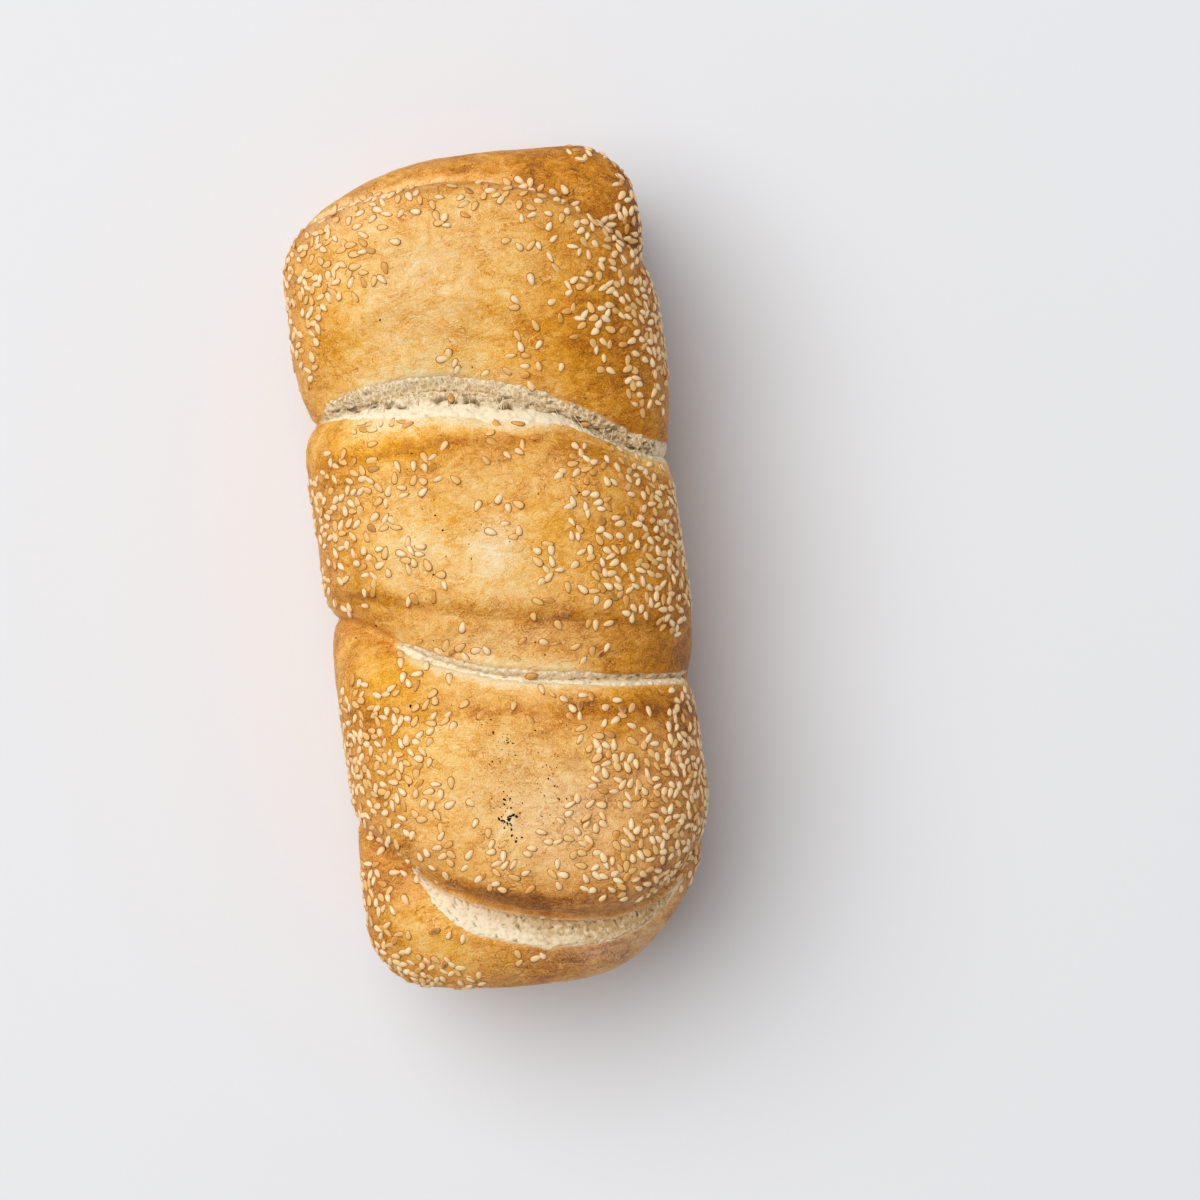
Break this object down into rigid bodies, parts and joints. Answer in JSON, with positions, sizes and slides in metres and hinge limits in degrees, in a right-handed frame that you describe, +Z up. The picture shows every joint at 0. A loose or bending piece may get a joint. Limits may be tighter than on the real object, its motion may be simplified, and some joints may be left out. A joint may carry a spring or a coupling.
{
  "type": "seeded tin loaf",
  "caption": "Baked tin loaf of twisted dough with a flat base, straight walls, rounded lobes on top parted by slanting splits, and pale seeds set in the crust.",
  "frame": {"origin": "Centre of the loaf's bounding box, at the height of the flat base that it rests on.", "axes": "+Y runs along the loaf towards the end with the shallow left corner, +X across it to the right as seen from above, +Z up."},
  "size_m": [0.1018, 0.229, 0.0868],
  "materials": {
    "crust": "matte golden bread crust"
  },
  "bodies": {
    "root": {"loaf": "crust"}
  },
  "joints": []
}
